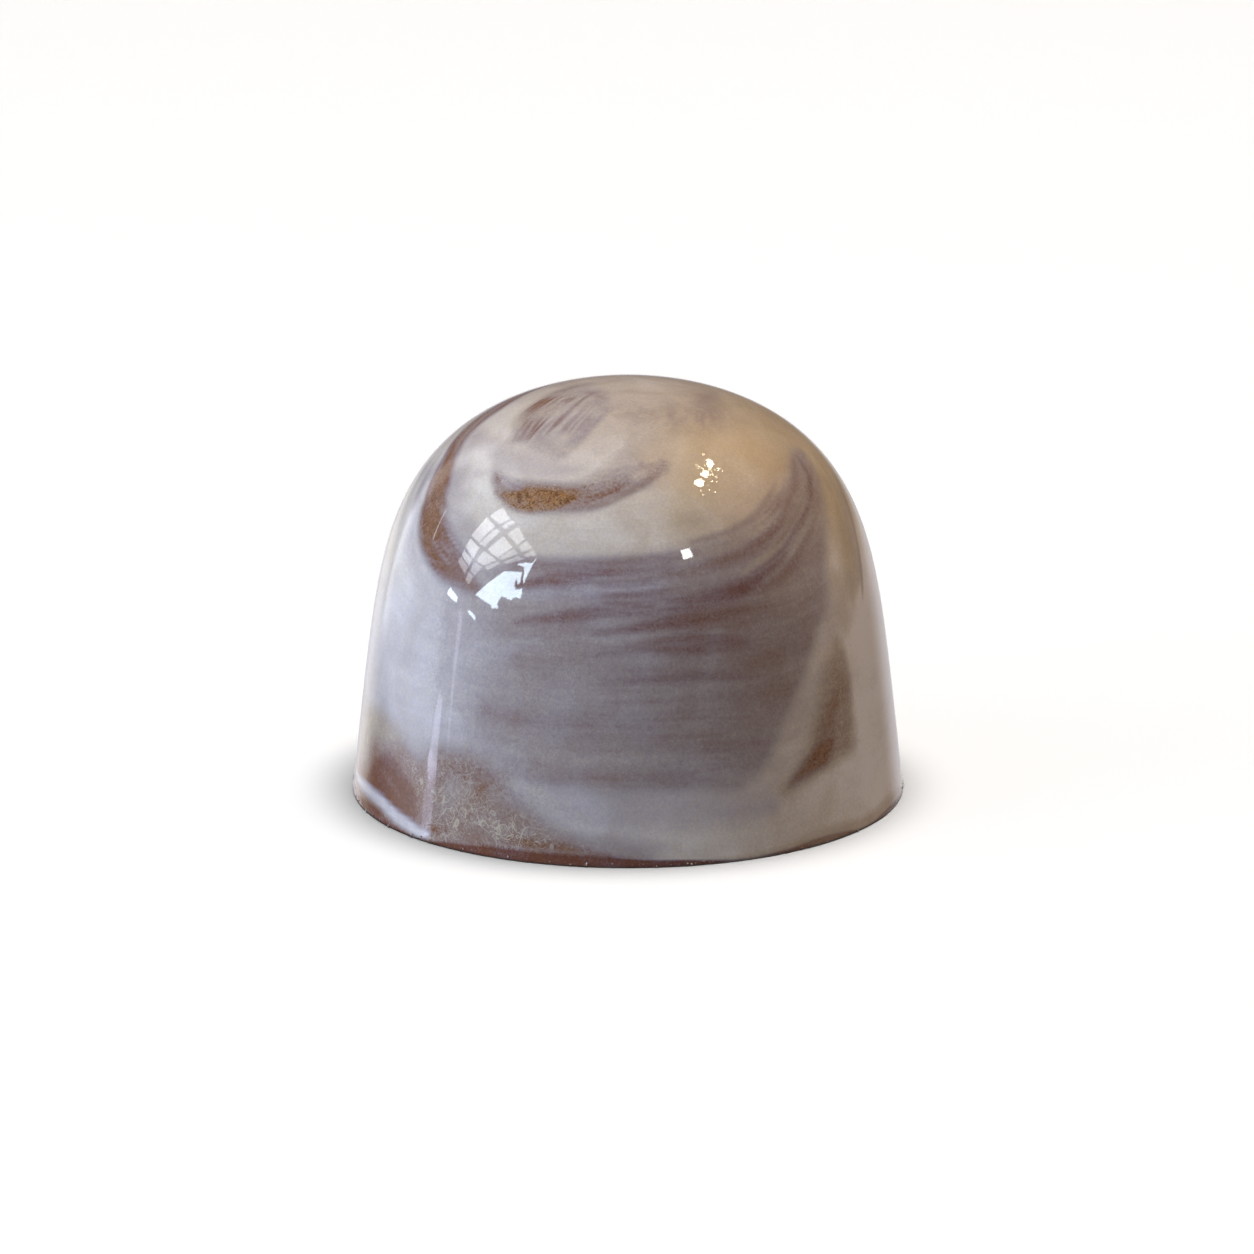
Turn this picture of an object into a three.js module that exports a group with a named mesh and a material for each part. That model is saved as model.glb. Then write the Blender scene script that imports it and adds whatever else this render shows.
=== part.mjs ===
// A moulded chocolate praline: a tall round dome that stands on its flat foot.
// The dome is one solid, its shell marbled with white cocoa butter. The mould was closed
// with a thin layer of plain chocolate, which runs through the praline as its base and
// shows all round as a line at the foot. Millimetres, +Z up, origin in the middle of the foot.

import * as THREE from 'three';

// Driving dimensions
const HEIGHT = 21.1; // foot to crown
const WALL_RADIUS = 14.1; // the wall, carried down to the height of the foot
const DRAFT_DEGREES = 6.6; // lean of the wall, which frees the praline from its mould
const CROWN_SQUARENESS = 5.5; // exponent of the crown's rounding, 2 being a plain ellipse
const BASE_THICKNESS = 0.5; // closing layer of chocolate
const BASE_EDGE_RADIUS = 0.15; // rounding of the closing layer's lower edge

// How finely the round forms are divided
const SIDES = 96;
const DOME_ROWS = 28;
const EDGE_STEPS = 3;

const DRAFT_SLOPE = Math.tan(THREE.MathUtils.degToRad(DRAFT_DEGREES));

// Radius of the dome at a height: a leaning straight wall that closes in to a round crown.
function domeRadius(height) {
  const wall = WALL_RADIUS - height * DRAFT_SLOPE;
  const crown = Math.sqrt(1 - (height / HEIGHT) ** CROWN_SQUARENESS);
  return wall * crown;
}

// Turns a profile of (radius, height) points round the upright axis.
function turned(profile) {
  const geometry = new THREE.LatheGeometry(profile, SIDES);
  geometry.rotateX(Math.PI / 2);
  return geometry;
}

// The rows of the dome stand closer together towards the crown, where the form turns in.
function domeGeometry() {
  const profile = [new THREE.Vector2(0, BASE_THICKNESS)];
  for (let row = 0; row < DOME_ROWS; row += 1) {
    const climb = Math.sin((row / DOME_ROWS) * (Math.PI / 2));
    const height = BASE_THICKNESS + (HEIGHT - BASE_THICKNESS) * climb;
    profile.push(new THREE.Vector2(domeRadius(height), height));
  }
  profile.push(new THREE.Vector2(0, HEIGHT));
  return turned(profile);
}

// A flat disc whose rim carries the dome's wall on downwards and rounds off at the foot.
function baseGeometry() {
  const rimRadius = domeRadius(BASE_EDGE_RADIUS);
  const profile = [new THREE.Vector2(0, 0)];
  for (let step = 0; step <= EDGE_STEPS; step += 1) {
    const turn = (step / EDGE_STEPS) * (Math.PI / 2);
    const radius = rimRadius - BASE_EDGE_RADIUS * (1 - Math.sin(turn));
    const height = BASE_EDGE_RADIUS * (1 - Math.cos(turn));
    profile.push(new THREE.Vector2(radius, height));
  }
  profile.push(new THREE.Vector2(domeRadius(BASE_THICKNESS), BASE_THICKNESS));
  profile.push(new THREE.Vector2(0, BASE_THICKNESS));
  return turned(profile);
}

// Milk chocolate shell under a thin, uneven film of white cocoa butter, glossy from the mould.
const marbledShell = new THREE.MeshStandardMaterial({
  color: '#9c8f8e',
  roughness: 0.12,
  metalness: 0,
});

// Plain milk chocolate, scraped level with the mould before it set.
const closingChocolate = new THREE.MeshStandardMaterial({
  color: '#6b3f2e',
  roughness: 0.35,
  metalness: 0,
});

const dome = new THREE.Mesh(domeGeometry(), marbledShell);
dome.name = 'marbled_dome';

const base = new THREE.Mesh(baseGeometry(), closingChocolate);
base.name = 'chocolate_base';

const praline = new THREE.Group();
praline.name = 'praline';
praline.add(dome, base);

export default praline;
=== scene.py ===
import math

import bpy
import numpy as np
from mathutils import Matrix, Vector


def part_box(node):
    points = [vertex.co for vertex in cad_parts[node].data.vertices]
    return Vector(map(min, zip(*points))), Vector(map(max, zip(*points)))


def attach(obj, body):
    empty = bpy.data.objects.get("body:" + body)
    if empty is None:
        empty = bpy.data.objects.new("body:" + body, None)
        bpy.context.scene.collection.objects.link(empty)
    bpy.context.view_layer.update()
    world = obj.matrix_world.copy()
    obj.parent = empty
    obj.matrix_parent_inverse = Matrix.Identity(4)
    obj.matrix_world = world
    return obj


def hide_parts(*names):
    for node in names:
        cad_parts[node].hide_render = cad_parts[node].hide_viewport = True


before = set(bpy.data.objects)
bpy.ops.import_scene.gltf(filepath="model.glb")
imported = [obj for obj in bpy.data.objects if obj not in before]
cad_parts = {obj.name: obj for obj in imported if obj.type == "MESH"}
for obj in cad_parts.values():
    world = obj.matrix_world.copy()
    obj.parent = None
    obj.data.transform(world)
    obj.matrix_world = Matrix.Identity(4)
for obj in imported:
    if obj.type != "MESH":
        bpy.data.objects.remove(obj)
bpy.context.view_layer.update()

# Sizes in metres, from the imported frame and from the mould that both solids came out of.
MM = 0.001
DOME_LOW, DOME_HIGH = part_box("marbled_dome")
CROWN = DOME_HIGH.z
SEAM = DOME_LOW.z
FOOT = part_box("chocolate_base")[0].z
WALL_RADIUS = 14.1 * MM
DRAFT_SLOPE = math.tan(math.radians(6.6))
CROWN_SQUARENESS = 5.5


# ---------------------------------------------------------------- small tools

def linear(hex_colour):
    """An sRGB hex colour as linear RGBA."""
    channels = [int(hex_colour[i:i + 2], 16) / 255 for i in (1, 3, 5)]
    return [c / 12.92 if c <= 0.04045 else ((c + 0.055) / 1.055) ** 2.4 for c in channels] + [1.0]


def add(tree, kind, inputs=(), out=0, **settings):
    """Adds a node with its settings and links, and gives back one of its outputs."""
    node = tree.nodes.new(kind)
    for name, value in settings.items():
        setattr(node, name, value)
    for key, value in dict(inputs).items():
        if isinstance(value, bpy.types.NodeSocket):
            tree.links.new(value, node.inputs[key])
        else:
            node.inputs[key].default_value = value
    return node.outputs[out] if len(node.outputs) else node


# ---------------------------------------------------------------- the turned forms

def growing_tree(name, sizes, counts):
    """A Geometry Nodes tree with these named inputs and a material, which gives back one form."""
    tree = bpy.data.node_groups.new(name, "GeometryNodeTree")
    for kind, inputs in [("NodeSocketFloat", sizes), ("NodeSocketInt", counts)]:
        for key, default in inputs.items():
            tree.interface.new_socket(key, in_out="INPUT", socket_type=kind).default_value = default
    tree.interface.new_socket("Material", in_out="INPUT", socket_type="NodeSocketMaterial")
    tree.interface.new_socket("Form", in_out="OUTPUT", socket_type="NodeSocketGeometry")
    return tree


def turned_form_tree():
    """Geometry Nodes: a grid bent round into the praline's wall and crown between two heights, with
    flat ends, an uneven wall where asked and a rounded lower edge."""
    tree = growing_tree("turned praline form", {
        "Low": 0.0, "High": CROWN, "Crown height": CROWN, "Wall radius": WALL_RADIUS,
        "Draft slope": DRAFT_SLOPE, "Crown squareness": CROWN_SQUARENESS, "Edge radius": 0.0,
        "Unevenness": 0.0, "Grain": 1.0 * MM}, {"Sides": 64, "Rows": 16})
    value = dict(tree.nodes.new("NodeGroupInput").outputs.items())
    place = add(tree, "ShaderNodeSeparateXYZ", {0: add(tree, "GeometryNodeInputPosition")}).node.outputs
    value["across"], value["up"] = place["X"], place["Y"]

    # Each line is one sum: its result's name, the operation and what it works on. Line 0 of the grid
    # is the middle of the lower end and its last line the middle of the upper end.
    sums = [
        ("columns", "ADD", "Sides", 1.0),
        ("lines", "ADD", "Rows", 3.0),
        ("across from 0", "ADD", "across", 0.5),
        ("turn", "MULTIPLY", "across from 0", math.tau),
        ("up from 0", "ADD", "up", 0.5),
        ("last line", "ADD", "Rows", 2.0),
        ("line", "MULTIPLY", "up from 0", "last line"),
        ("wall line", "SUBTRACT", "line", 1.0),
        ("climb", "DIVIDE", "wall line", "Rows"),
        ("not below", "MAXIMUM", "climb", 0.0),
        ("on the wall", "MINIMUM", "not below", 1.0),
        ("past the first", "GREATER_THAN", "line", 0.5),
        ("end line", "ADD", "Rows", 1.5),
        ("before the last", "LESS_THAN", "line", "end line"),
        ("not an end's middle", "MULTIPLY", "past the first", "before the last"),
        ("quarter turn", "MULTIPLY", "on the wall", math.pi / 2),
        ("closer at the top", "SINE", "quarter turn"),
        ("rise", "SUBTRACT", "High", "Low"),
        ("height", "MULTIPLY_ADD", "closer at the top", "rise", "Low"),
        ("leaned in", "MULTIPLY", "height", "Draft slope"),
        ("straight wall", "SUBTRACT", "Wall radius", "leaned in"),
        ("share of height", "DIVIDE", "height", "Crown height"),
        ("rounding", "POWER", "share of height", "Crown squareness"),
        ("left of it", "SUBTRACT", 1.0, "rounding"),
        ("at least 0", "MAXIMUM", "left of it", 0.0),
        ("crown", "SQRT", "at least 0"),
        ("over the edge", "SUBTRACT", "height", "Low"),
        ("some edge", "MAXIMUM", "Edge radius", 1e-9),
        ("share of edge", "DIVIDE", "over the edge", "some edge"),
        ("below the edge", "SUBTRACT", 1.0, "share of edge"),
        ("in the edge", "MAXIMUM", "below the edge", 0.0),
        ("squared", "POWER", "in the edge", 2.0),
        ("round", "SUBTRACT", 1.0, "squared"),
        ("edge height", "SQRT", "round"),
        ("tuck", "SUBTRACT", "edge height", 1.0),
        ("tucked in", "MULTIPLY", "tuck", "Edge radius"),
        ("even radius", "MULTIPLY_ADD", "straight wall", "crown", "tucked in"),
        ("cosine", "COSINE", "turn"),
        ("sine", "SINE", "turn"),
        ("noise height", "DIVIDE", "height", "Wall radius"),
        ("noise scale", "DIVIDE", "Wall radius", "Grain"),
    ]
    after_noise = [
        ("off middle", "SUBTRACT", "noise", 0.5),
        ("uneven", "MULTIPLY_ADD", "off middle", "Unevenness", "even radius"),
        ("radius", "MULTIPLY", "uneven", "not an end's middle"),
        ("x", "MULTIPLY", "radius", "cosine"),
        ("y", "MULTIPLY", "radius", "sine"),
    ]
    for name, operation, *parts in sums:
        parts = {i: value.get(part, part) for i, part in enumerate(parts)}
        value[name] = add(tree, "ShaderNodeMath", parts, operation=operation)
    round_place = add(tree, "ShaderNodeCombineXYZ", {
        "X": value["cosine"], "Y": value["sine"], "Z": value["noise height"]})
    value["noise"] = add(tree, "ShaderNodeTexNoise", {
        "Vector": round_place, "Scale": value["noise scale"], "Detail": 3.0})
    for name, operation, *parts in after_noise:
        parts = {i: value.get(part, part) for i, part in enumerate(parts)}
        value[name] = add(tree, "ShaderNodeMath", parts, operation=operation)

    form = add(tree, "GeometryNodeMeshGrid", {
        "Size X": 1.0, "Size Y": 1.0, "Vertices X": value["columns"], "Vertices Y": value["lines"]})
    spot = add(tree, "ShaderNodeCombineXYZ", {"X": value["x"], "Y": value["y"], "Z": value["height"]})
    form = add(tree, "GeometryNodeSetPosition", {"Geometry": form, "Position": spot})
    form = add(tree, "GeometryNodeMergeByDistance", {"Geometry": form, "Distance": 1e-7})
    form = add(tree, "GeometryNodeSetShadeSmooth", {"Geometry": form})
    form = add(tree, "GeometryNodeRealizeInstances", {"Geometry": form})
    form = add(tree, "GeometryNodeSetMaterial", {"Geometry": form, "Material": value["Material"]})
    add(tree, "NodeGroupOutput", {"Form": form})
    return tree


def grown(name, tree, **inputs):
    """A plain mesh object that a Geometry Nodes tree made from these named inputs."""
    host = bpy.data.objects.new(name, bpy.data.meshes.new(name))
    bpy.context.scene.collection.objects.link(host)
    modifier = host.modifiers.new("grow", "NODES")
    modifier.node_group = tree
    for socket in tree.interface.items_tree:
        given = inputs.get(socket.name.replace(" ", "_").lower())
        if socket.in_out == "INPUT" and given is not None:
            modifier[socket.identifier] = given
    grown_host = host.evaluated_get(bpy.context.evaluated_depsgraph_get())
    mesh = bpy.data.meshes.new_from_object(grown_host)
    mesh.set_sharp_from_angle(angle=math.radians(40))
    host.modifiers.remove(modifier)
    host.data = mesh
    mesh.name = name
    return host


# ---------------------------------------------------------------- the marbling
# The mould was wiped out with white cocoa butter before the milk chocolate went in, so the shell
# carries one white film of changing thickness. A place on the shell is (azimuth, climb): degrees
# round from the viewer's side, positive to the right, and millimetres up the surface from the foot.

HEIGHTS = CROWN / MM * (1 - np.linspace(1, 0, 801) ** 2)
CROWN_ROUNDING = np.sqrt(1 - (HEIGHTS / HEIGHTS[-1]) ** CROWN_SQUARENESS)
RADII = (WALL_RADIUS / MM - HEIGHTS * DRAFT_SLOPE) * CROWN_ROUNDING
CLIMBS = np.concatenate([[0.0], np.cumsum(np.hypot(np.diff(HEIGHTS), np.diff(RADII)))])
MIDDLING_RADIUS = 12.0
MM_PER_DEGREE = math.radians(MIDDLING_RADIUS)

# The swirl that the streaks follow, in millimetres: its middle as seen from above, how far down from
# the crown its pull starts to fade and over what length, and the radius that its rings are read at.
SWIRL_MIDDLE = (-1.0, -4.3)
SWIRL_FADES_AT = 9.0
SWIRL_FADES_OVER = 13.0
SWIRL_RADIUS = 14.0

# What is kept for each point of the shell: Film says what each one means.
LAYERS = ("film", "hairs", "grain", "curls", "warmth")
# The closing chocolate's upper edge, as places.
FOOT_LINE = [(-180, 0.30), (-95, 0.48), (-78, 0.52), (-66, 0.42), (-52, 0.32), (-44, 0.26), (-32, 0.24),
             (-20, 0.32), (-4, 0.30), (8, 0.20), (15, 0.12), (21, 0.05), (28, 0.12), (40, 0.22), (70, 0.32),
             (100, 0.28), (180, 0.30)]


def on_shell(places):
    """Points, in millimetres, of places on the shell."""
    azimuth, climb = np.radians(places[:, 0]), places[:, 1]
    radius = np.interp(climb, CLIMBS, RADII)
    height = np.interp(climb, CLIMBS, HEIGHTS)
    return np.stack([radius * np.sin(azimuth), -radius * np.cos(azimuth), height], 1)


def eased(share):
    """A share from 0 to 1, smooth at both ends."""
    share = np.clip(share, 0, 1)
    return share * share * (3 - 2 * share)


def smooth_line(corners, closed=False, steps=7):
    """Corners joined by a smooth line through all of them."""
    corners = np.array(corners, float)
    ends = [corners[-1:], corners, corners[:2]] if closed else [corners[:1], corners, corners[-1:]]
    row = np.concatenate(ends)
    t = np.linspace(0, 1, steps, endpoint=False)[:, None]
    spans = []
    for a, b, c, d in zip(row[:-3], row[1:-2], row[2:-1], row[3:]):
        spans.append(b + 0.5 * t * (c - a + t * (2 * a - 5 * b + 4 * c - d + t * (3 * b - a - 3 * c + d))))
    return np.concatenate(spans if closed else spans + [corners[-1:]])


class Film:
    """How the white film lies at each of the shell's points: its thickness from 0, bare chocolate, to
    1, opaque white, how streaky, grainy and curly it is, and its warmth from -1, lavender, to 1, beige."""

    def __init__(self, points):
        self.points = points / MM
        # A wipe wavers by hand, so no edge runs quite true: each wave's length and shift in millimetres.
        draw = np.random.default_rng(7)
        for length, shift in [(6.0, 0.05), (2.5, 0.012)]:
            for _ in range(6):
                direction, way = draw.normal(size=(2, 3))
                wave = self.points @ (direction / np.linalg.norm(direction)) * math.tau / length
                self.points = self.points + shift * np.outer(np.sin(wave + draw.uniform(0, math.tau)), way)
        x, y, z = self.points.T
        radius = np.hypot(x, y)
        self.azimuth = np.degrees(np.arctan2(x, -y))
        self.climb = np.interp(z - radius, HEIGHTS - RADII, CLIMBS)
        self.layers = {name: np.zeros(len(points)) for name in LAYERS}

    def lay(self, share, targets):
        """Moves each named layer towards its target by that share."""
        for name, target in targets.items():
            if target is not None:
                self.layers[name] += share * (target - self.layers[name])

    def wipe(self, course, edge, strength=1.0, **targets):
        """One wipe along a course of (azimuth, climb, half-width), and how softly its edges fade, in
        millimetres: one number, or one for the upper edge and one for the lower."""
        line = smooth_line(course)
        spots = on_shell(line)
        reach = max(width for *_, width in course)
        edges = edge if isinstance(edge, tuple) else (edge, edge)
        low, high = spots.min(0) - reach, spots.max(0) + reach
        near = np.flatnonzero(np.all((self.points > low) & (self.points < high), 1))
        from_start = self.points[near, None] - spots[:-1]
        run = np.diff(spots, axis=0)
        along = np.clip((from_start * run).sum(2) / (run * run).sum(1), 0, 1)
        gaps = np.linalg.norm(from_start - along[..., None] * run, axis=2)
        closest = gaps.argmin(1)
        gap, part = (grid[np.arange(len(near)), closest] for grid in (gaps, along))
        climb, width = (line[closest, k] * (1 - part) + line[closest + 1, k] * part for k in (1, 2))
        share = np.zeros(len(self.points))
        share[near] = eased((width - gap) / np.where(self.climb[near] > climb, *edges))
        self.lay(strength * share, targets)

    def wipes(self, *rows):
        """One wipe after another: each row is its course, edge, strength, film and warmth."""
        for course, edge, strength, film, warmth in rows:
            self.wipe(course, edge, strength, film=film, warmth=warmth)

    def patch(self, outline, edge, strength=1.0, **targets):
        """A spot inside a smooth outline of places, with an edge that fades over so many millimetres."""
        line = smooth_line(outline, closed=True)
        middle = line[:, 0].mean()
        x = ((self.azimuth - middle + 180) % 360 - 180) * MM_PER_DEGREE
        y = self.climb
        line = (line - [middle, 0]) * [MM_PER_DEGREE, 1]
        near = np.flatnonzero((x > line[:, 0].min() - edge) & (x < line[:, 0].max() + edge)
                              & (y > line[:, 1].min() - edge) & (y < line[:, 1].max() + edge))
        spot = np.stack([x[near], y[near]], 1)[:, None]
        start, end = line, np.roll(line, -1, 0)
        run = end - start
        along = np.clip(((spot - start) * run).sum(2) / (run * run).sum(1), 0, 1)
        gap = np.linalg.norm(spot - start - along[..., None] * run, axis=2).min(1)
        crossed = (start[:, 1] > spot[..., 1]) != (end[:, 1] > spot[..., 1])
        climbed = np.where(run[:, 1] == 0, 1, run[:, 1])
        reached = start[:, 0] + (spot[..., 1] - start[:, 1]) / climbed * run[:, 0]
        inside = (crossed & (spot[..., 0] < reached)).sum(1) % 2 == 1
        share = np.zeros(len(self.points))
        share[near] = eased(0.5 + np.where(inside, gap, -gap) / edge)
        self.lay(strength * share, targets)

    def comb(self, first, last, count, seed, width, films, strength=0.8, **targets):
        """Fine hairs drawn side by side between two courses of places: how many, the seed of their
        draws, about how wide on each side of their middle, and the limits of their film."""
        draw = np.random.default_rng(seed)
        first, last = np.array(first, float), np.array(last, float)
        # A hair strays from its course, stops short at either end and is thickest in its middle.
        for share in (np.arange(count) + draw.uniform(0.1, 0.9, count)) / count:
            course = first + share * (last - first) + draw.normal(0, 0.5, (1, 2)) * [1.0, 0.15]
            start, end = sorted(draw.uniform(0, 1, 2) * [0.3, 0.15] + [0, 0.85])
            run = np.linspace(start, end, len(course)) * (len(course) - 1)
            course = np.stack([np.interp(run, np.arange(len(course)), course[:, k]) for k in (0, 1)], 1)
            half = width * draw.uniform(0.6, 1.5)
            taper = half * np.sin(np.linspace(0.25, math.pi - 0.25, len(course)))
            hair = np.column_stack([course, taper])
            self.wipe(hair, half, strength, film=draw.uniform(*films), **targets)

    def swirl(self):
        """Each point's distance in millimetres from the middle of the swirl, and its way round it as
        two lengths. The middle lies in front of the crown, and low on the wall the rings are level."""
        away = CLIMBS[-1] - self.climb
        turn = np.radians(self.azimuth)
        pull = 1 - eased((away - SWIRL_FADES_AT) / SWIRL_FADES_OVER)
        x = away * np.sin(turn) - SWIRL_MIDDLE[0] * pull
        y = -away * np.cos(turn) - SWIRL_MIDDLE[1] * pull
        ring = np.hypot(x, y) + 1e-6
        return np.stack([ring, SWIRL_RADIUS * x / ring, SWIRL_RADIUS * y / ring], 1).astype(np.float32)


def pale_grounds(film):
    """Where the film lies thick: beige on the right shoulder, partly painted warm lamplight, and lavender
    low on the left wall, partly painted cool window light.
    """
    # Partly painted warm lamplight: the right shoulder is laid beige.
    film.patch([(12, 17.5), (30, 24.5), (90, 25.5), (125, 22), (115, 8), (75, 10), (60, 15), (40, 18)], 6,
        film=0.78, warmth=0.9)
    crown_from, crown_fades_over = 21.5, 4
    film.lay(0.6 * eased((film.climb - crown_from) / crown_fades_over), dict(film=0.73, warmth=0.25))
    film.patch([(57, 1), (56, 8), (62, 12), (80, 13), (110, 8), (110, 1)], 4, film=1, warmth=-0.8)
    # Partly painted cool window light: the lower left wall is laid lavender.
    film.patch([(-95, 4), (-95, 10), (-60, 11), (-30, 10), (-15, 7), (0, 1), (-30, 2), (-60, 5)], 6,
        film=0.76, warmth=-0.7)
    # Thinner clouds either side of the crown.
    film.wipe([(-10, 25.5, 1), (20, 24.2, 2.4), (50, 23.8, 2.4), (75, 24.5, 1)], 2.6, 0.85, film=0.6,
        hairs=0.5, grain=0.3, warmth=0.5)
    film.wipes(
        ([(60, 24.9, 0.6), (75, 24.8, 1), (95, 24.5, 0.7)], 1.2, 0.7, 0.46, 0.4),
        ([(-100, 17.4, 0.8), (-76, 17.6, 0.9), (-60, 18.2, 0.9), (-48, 18.9, 0.5)], 0.9, 0.6, 0.66, -0.2),
        ([(3, 20.5, 0.8), (9, 22.5, 1.6), (8, 25.5, 0.8)], 1.5, 0.6, 0.7, 0.3))


def front_sweep(film):
    """The grey-mauve sweep across the front, and its long streaks: dark where the wipe ran thin and
    light where it gathered."""
    film.patch([(-46, 13), (-30, 14.7), (-15, 14.95), (0, 15.1), (12, 15.45), (25, 16.15), (38, 17.1),
        (50, 18), (60, 18.9), (70, 19.6), (75, 19.2), (70, 17.9), (66, 17), (62, 15.9), (57, 14.5),
        (55, 13), (52, 11.2), (47, 10.1), (43, 9), (38, 7.5), (33, 5.6), (29, 4.3), (18, 3.7), (5, 3.8),
        (-8, 3.9), (-20, 4.3), (-34, 5.2), (-46, 7), (-49, 10)], 1.4, film=0.53, hairs=0.28, grain=0.35,
        warmth=-0.2)
    film.wipe([(-57, 5, 7.4), (-53, 9, 7.2), (-51, 12.5, 5.4)], 5.5, 0.95, film=0.78, hairs=0.15,
        warmth=-0.7)
    dark = (0.15, -0.5)
    film.wipes(
        ([(-42, 5.2, 2), (-41, 8, 2.6), (-41, 10.8, 1.8)], 2.4, 0.7, 0.82, -0.8),
        ([(8, 11.6, 2.6), (25, 11.6, 4.4), (38, 11, 4.2), (44, 12.5, 2.6)], 4, 0.8, 0.33, 0.05),
        ([(28, 8.2, 3), (38, 8.8, 2.8)], 3, 0.6, 0.36, 0.3),
        ([(12, 6, 2.4), (26, 6.5, 2.4)], 2.4, 0.5, 0.44, 0.1),
        ([(42, 13.6, 2.4), (50, 15, 2.4), (60, 16.8, 1.8), (70, 18.4, 1.2)], 2, 0.6, 0.47, 0.5),
        ([(14, 17, 0.8), (28, 17.2, 1), (42, 17.9, 1), (54, 18.9, 0.6)], 1, 0.5, 0.66, 0.5),
        ([(-28, 14.5, 0.7), (-10, 14.7, 0.8), (5, 14.85, 0.8), (17, 15.3, 0.5)], 0.8, 0.8, 0.3, -0.4),
        ([(-28, 13.5, 0.5), (-18, 13.8, 0.7), (-8, 14.2, 0.7), (3, 14.5, 0.3)], 0.6, 0.85, *dark),
        ([(-30, 12.9, 0.5), (-12, 13.4, 0.7), (0, 13.8, 0.8), (10, 14.3, 0.7), (19, 15, 0.4)], 0.6, 0.85,
         0.62, -0.7),
        ([(-26, 11.7, 0.4), (-12, 12.3, 0.6), (-5, 12.6, 0.7), (4, 12.7, 0.8), (16, 12.9, 0.75),
         (26, 13.4, 0.7), (36, 14.4, 0.6), (41, 15, 0.55), (47, 15.7, 0.5), (57, 16.7, 0.45),
         (65, 18, 0.45), (68, 19.3, 0.3)], 0.6, 0.85, *dark),
        ([(-10, 11.9, 0.3), (0, 12.2, 0.5), (12, 12.4, 0.3)], 0.5, 0.6, 0.52, -0.3),
        ([(-8, 11.4, 0.3), (5, 11.8, 0.5), (15, 12.1, 0.6), (25, 12.4, 0.4)], 0.5, 0.75, *dark),
        ([(-16, 11, 0.35), (-2, 11.3, 0.45), (8, 11.4, 0.3)], 0.45, 0.6, 0.56, -0.3),
        ([(-10, 10.4, 0.35), (3, 10.7, 0.6), (14, 10.9, 0.9), (27, 10.9, 0.6)], 0.7, 0.7, *dark),
        ([(12, 12.1, 0.5), (20, 12.3, 0.9), (28, 12.5, 0.5)], 0.8, 0.6, 0.24, 0.1),
        ([(-18, 9.8, 0.4), (-2, 10.1, 0.55), (9, 10.2, 0.45), (19, 10, 0.3)], 0.5, 0.7, 0.54, -0.3),
        ([(-6, 9.1, 0.3), (5, 9.2, 0.4), (15, 9.3, 0.45), (28, 9.2, 0.3)], 0.45, 0.55, *dark),
        ([(-32, 7.1, 0.9), (-12, 6.9, 1.1), (0, 6.7, 1.2), (10, 6.3, 1.1), (25, 5.5, 1), (32, 5.2, 0.6)],
         1.1, 0.6, 0.4, None),
        ([(-24, 5.7, 0.6), (0, 5.4, 0.8), (15, 4.8, 0.5)], 0.7, 0.5, 0.58, -0.3),
        ([(-26, 4.4, 0.8), (-8, 4, 0.9), (8, 4, 0.9), (23, 3.9, 0.6)], 0.9, 0.6, 0.42, None),
        ([(-4, 14.1, 0.3), (10, 14.35, 0.5), (20, 14.6, 0.6), (28, 15, 0.6), (38, 15.8, 0.55),
         (48, 16.8, 0.5), (56, 17.9, 0.45), (63, 18.9, 0.4), (69, 19.5, 0.1)], 0.55, 0.8, 0.25, 0),
        ([(30, 13.2, 0.25), (41, 14, 0.5), (49, 14.9, 0.5), (58, 16, 0.2)], 0.5, 0.7, 0.28, 0),
        ([(28, 14.2, 0.3), (38, 15.1, 0.4), (48, 16.1, 0.4), (58, 17, 0.25)], 0.4, 0.8, 0.62, 0.5),
        ([(12, 14.9, 0.3), (26, 15.6, 0.5), (38, 16.5, 0.5), (50, 17.7, 0.3)], 0.5, 0.75, 0.6, 0.3),
        ([(16, 15.9, 0.3), (30, 16.5, 0.4), (43, 17.6, 0.4), (55, 18.8, 0.1)], 0.45, 0.75, 0.38, 0.2))
    film.comb([(22, 12.9), (38, 14), (52, 15.6), (64, 17.2)], [(20, 16), (38, 16.9), (54, 18.2),
        (68, 19.4)], 16, 3, 0.17, (0.1, 0.72), 0.75)
    film.comb([(-24, 12), (-8, 12.2), (8, 12.4), (24, 12.4)], [(-24, 14.9), (-8, 15.2), (8, 15.5),
        (22, 16)], 14, 4, 0.15, (0.15, 0.7), 0.6)
    film.comb([(-22, 4), (-4, 3.8), (14, 3.9), (28, 4.4)], [(-26, 11.6), (-6, 11.7), (14, 11.9),
        (34, 11.8)], 26, 5, 0.15, (0.22, 0.66), 0.5)


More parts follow.
